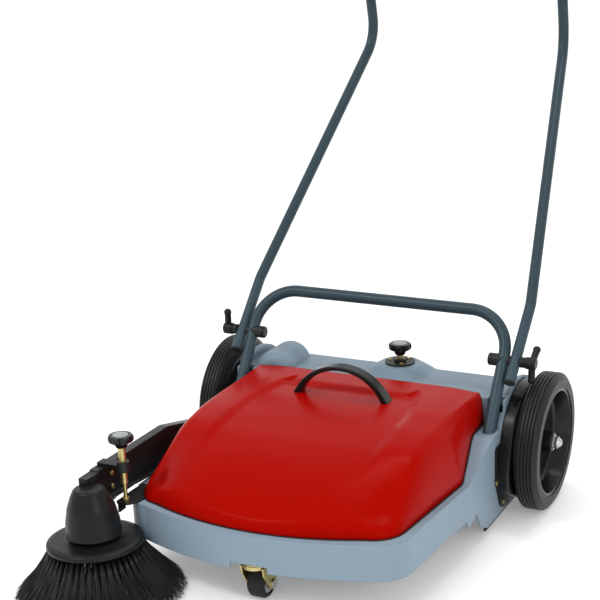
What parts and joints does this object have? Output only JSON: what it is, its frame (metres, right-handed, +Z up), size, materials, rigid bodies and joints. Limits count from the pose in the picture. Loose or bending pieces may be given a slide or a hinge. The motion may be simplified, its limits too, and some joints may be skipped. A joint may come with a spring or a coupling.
{
  "type": "walk-behind sweeper",
  "caption": "Push sweeper with a lift-off domed hood, ground-driven main roller brush, belt-driven side brush, front caster and folding push handle.",
  "frame": {"origin": "on the ground, under the middle of the machine's overall length and width (the centre of the bottom of its bounding box)", "axes": "+Z up, -Y the direction of travel, +X the machine's left-hand side"},
  "size_m": [0.8364, 1.3218, 1.0555],
  "materials": {
    "moulded_grey": "satin moulded",
    "hood_red": "glossy moulded",
    "black_gloss": "glossy",
    "black_plastic": "fine grained",
    "tube_paint": "smooth powder coat",
    "black_steel": "smooth powder coat",
    "tyre_rubber": "moulded solid rubber",
    "rubber": "matte",
    "zinc_yellow": "yellow passivated zinc",
    "steel": "turned",
    "bronze": "sintered",
    "gear_nylon": "moulded nylon",
    "brush_fibre": "polypropylene bristle",
    "grip_foam": "ribbed",
    "knob_cap_grey": "moulded"
  },
  "bodies": {
    "chassis": {"chassis_shell": "moulded_grey", "push_bow": "tube_paint", "wheel_axle": "steel", "axle_washers": "steel", "axle_nuts": "steel", "gear_cover": "black_gloss", "cover_screws": "zinc_yellow", "clamp_bolts": "steel", "clamp_caps": "black_plastic", "clamp_washers": "black_plastic", "adjuster_plate": "black_plastic", "caster_plate": "zinc_yellow", "caster_bolts": "zinc_yellow", "side_bracket": "black_steel", "rear_flap": "rubber", "side_flaps": "rubber", "hood_seal": "rubber"},
    "hood_lid": {"hood": "hood_red", "carry_handle": "black_gloss", "handle_screws": "steel", "dirt_hopper": "black_plastic"},
    "handle": {"push_handle": "tube_paint", "handle_grip": "grip_foam", "handle_end_plugs": "black_plastic"},
    "left_clamp_knob": {"clamp_knob_left": "black_plastic"},
    "right_clamp_knob": {"clamp_knob_right": "black_plastic"},
    "swing": {"swing_frame": "black_steel", "frame_bushes": "bronze", "brush_bearings": "bronze"},
    "left_wheel": {"tyre_left": "tyre_rubber", "rim_left": "black_gloss", "wheel_bush_left": "bronze", "drive_gear": "gear_nylon"},
    "right_wheel": {"tyre_right": "tyre_rubber", "rim_right": "black_gloss", "wheel_bush_right": "bronze", "wheel_pulley": "gear_nylon"},
    "main_brush": {"main_brush_core": "black_plastic", "main_brush_tufts": "brush_fibre", "main_brush_shaft": "steel", "brush_pinion": "gear_nylon"},
    "rear_knob": {"adjuster_spindle": "zinc_yellow", "adjuster_knob": "black_gloss"},
    "caster_swivel": {"caster_fork": "zinc_yellow", "caster_axle": "steel"},
    "caster_wheel": {"caster_tread": "rubber", "caster_hub": "knob_cap_grey"},
    "arm": {"side_arm": "black_steel", "arm_bush": "bronze", "arm_lug": "black_steel", "side_brush_housing": "black_plastic", "side_brush_bearing": "bronze", "side_belt": "rubber", "housing_screws": "zinc_yellow"},
    "side_brush": {"side_brush_shaft": "steel", "side_brush_pulley": "gear_nylon", "side_brush_disc": "black_plastic", "side_brush_bristles": "brush_fibre"},
    "side_height_knob": {"side_spindle": "zinc_yellow", "side_knob": "black_gloss"}
  },
  "joints": [
    {"name": "left_wheel_spin", "type": "hinge", "parent": "swing", "child": "left_wheel", "pos_m": [0.02823, 0.16906, 0.141], "axis": [1, 0, 0], "continuous": true},
    {"name": "right_wheel_spin", "type": "hinge", "parent": "chassis", "child": "right_wheel", "pos_m": [0.02823, 0.16906, 0.141], "axis": [1, 0, 0], "continuous": true},
    {"name": "main_brush_lift", "type": "hinge", "parent": "chassis", "child": "swing", "pos_m": [0.02823, 0.16906, 0.141], "axis": [-1, 0, 0], "range_deg": [-1, 3]},
    {"name": "main_brush_spin", "type": "hinge", "parent": "swing", "child": "main_brush", "pos_m": [0.02823, 0.06914, 0.095], "axis": [1, 0, 0], "continuous": true},
    {"name": "rear_knob_turn", "type": "hinge", "parent": "chassis", "child": "rear_knob", "pos_m": [0.06223, 0.17707, 0.28], "axis": [0, 0, 1], "range_deg": [-180, 540]},
    {"name": "handle_fold", "type": "hinge", "parent": "chassis", "child": "handle", "pos_m": [0.02823, 0.11826, 0.3202], "axis": [1, 0, 0], "range_deg": [-20, 130]},
    {"name": "left_clamp_turn", "type": "hinge", "parent": "chassis", "child": "left_clamp_knob", "pos_m": [0.02823, 0.11826, 0.3202], "axis": [1, 0, 0], "range_deg": [-180, 180]},
    {"name": "right_clamp_turn", "type": "hinge", "parent": "chassis", "child": "right_clamp_knob", "pos_m": [0.02823, 0.11826, 0.3202], "axis": [1, 0, 0], "range_deg": [-180, 180]},
    {"name": "caster_turn", "type": "hinge", "parent": "chassis", "child": "caster_swivel", "pos_m": [0.02823, -0.43094, 0.07], "axis": [0, 0, 1], "continuous": true},
    {"name": "caster_wheel_spin", "type": "hinge", "parent": "caster_swivel", "child": "caster_wheel", "pos_m": [0.02823, -0.40893, 0.03], "axis": [1, 0, 0], "continuous": true},
    {"name": "hood_lift_off", "type": "slide", "parent": "chassis", "child": "hood_lid", "axis": [0, 0, 1], "range_m": [0, 0.35]},
    {"name": "side_arm_lift", "type": "hinge", "parent": "chassis", "child": "arm", "pos_m": [0.02823, 0.16906, 0.141], "axis": [-1, 0, 0], "range_deg": [0, 1.5]},
    {"name": "side_brush_spin", "type": "hinge", "parent": "arm", "child": "side_brush", "pos_m": [-0.26377, -0.50294, 0.104], "axis": [-0.0349, 0, 0.9994], "continuous": true},
    {"name": "side_knob_turn", "type": "hinge", "parent": "arm", "child": "side_height_knob", "pos_m": [-0.23977, -0.42694, 0.25], "axis": [0, 0, 1], "range_deg": [0, 360]}
  ],
  "couplings": [
    {"joint": "main_brush_spin", "follows": "left_wheel_spin", "ratio": -3},
    {"joint": "side_brush_spin", "follows": "right_wheel_spin", "ratio": 2.57},
    {"joint": "rear_knob_turn", "follows": "main_brush_lift", "ratio": 180},
    {"joint": "side_knob_turn", "follows": "side_arm_lift", "ratio": 240}
  ]
}
